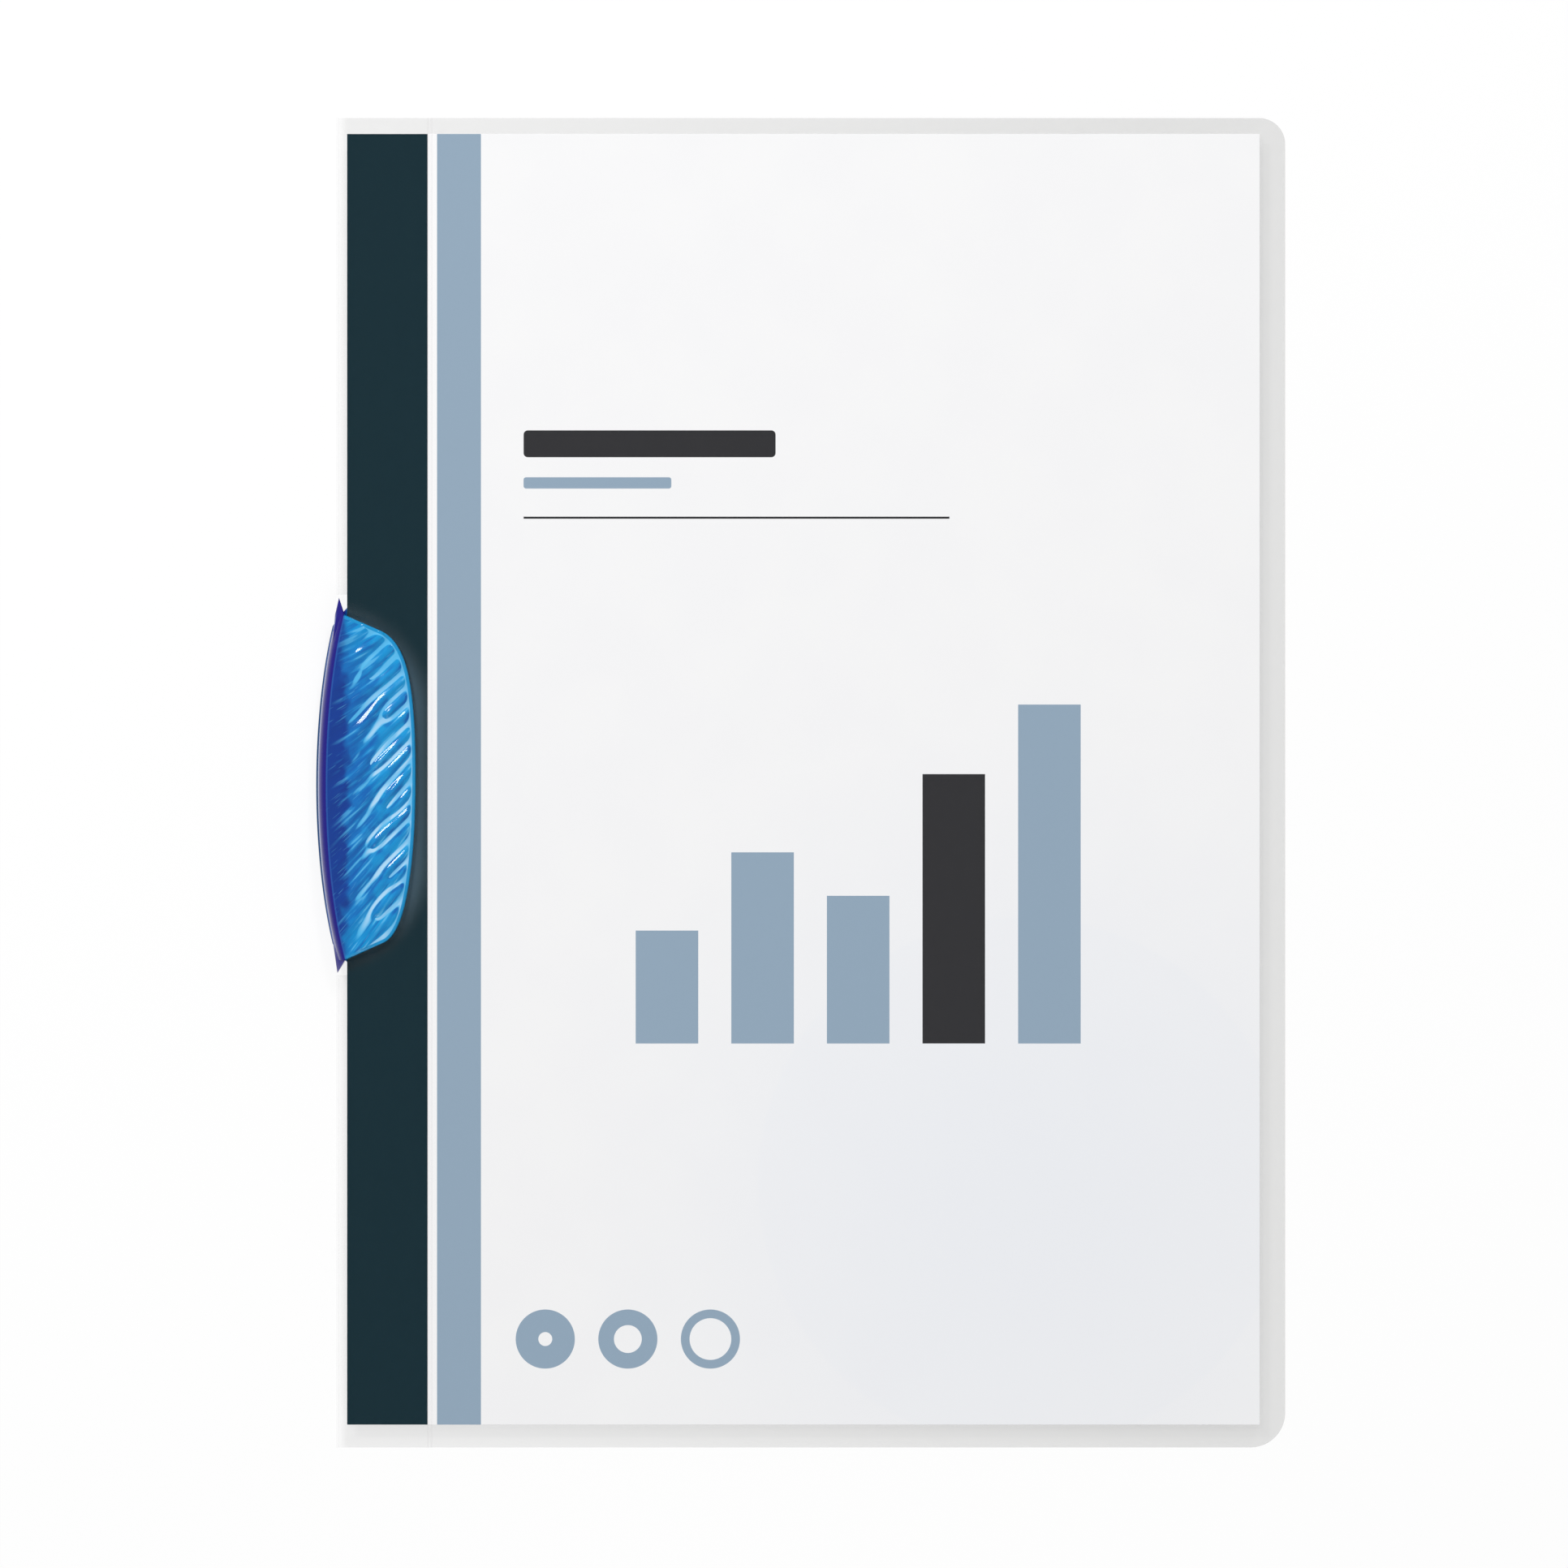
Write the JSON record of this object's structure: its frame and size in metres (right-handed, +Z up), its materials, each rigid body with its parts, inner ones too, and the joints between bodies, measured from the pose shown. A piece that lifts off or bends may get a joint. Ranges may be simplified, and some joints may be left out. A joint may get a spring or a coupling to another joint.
{
  "type": "clip folder",
  "caption": "Clear film folder for A4 sheets with an opening front panel, a loose title sheet and a rippled clip that swings out on a pivot.",
  "frame": {"origin": "On the floor under the middle of the whole folder, clip included, as it lies on its back.", "axes": "+X from the spine to the front edge, +Y to the top edge, +Z up through the front cover"},
  "size_m": [0.2232, 0.306, 0.0076],
  "materials": {
    "clear_film": "clear film with a faint grain",
    "paper": "smooth coated paper, printed",
    "clip_blue": "polished translucent plastic"
  },
  "bodies": {
    "folder": {"folder_cover": "clear_film", "title_sheet": "paper"},
    "front_panel": {"front_cover": "clear_film"},
    "swing_clip": {"clip": "clip_blue"}
  },
  "joints": [
    {"name": "front_cover_crease", "type": "hinge", "parent": "folder", "child": "front_panel", "pos_m": [-0.0853, 0, 0.0044], "axis": [0, -1, 0], "range_deg": [0, 140]},
    {"name": "clip_pivot", "type": "hinge", "parent": "folder", "child": "swing_clip", "pos_m": [-0.10075, 0.037, 0.0019], "axis": [0, 0, -1], "range_deg": [0, 60]}
  ]
}
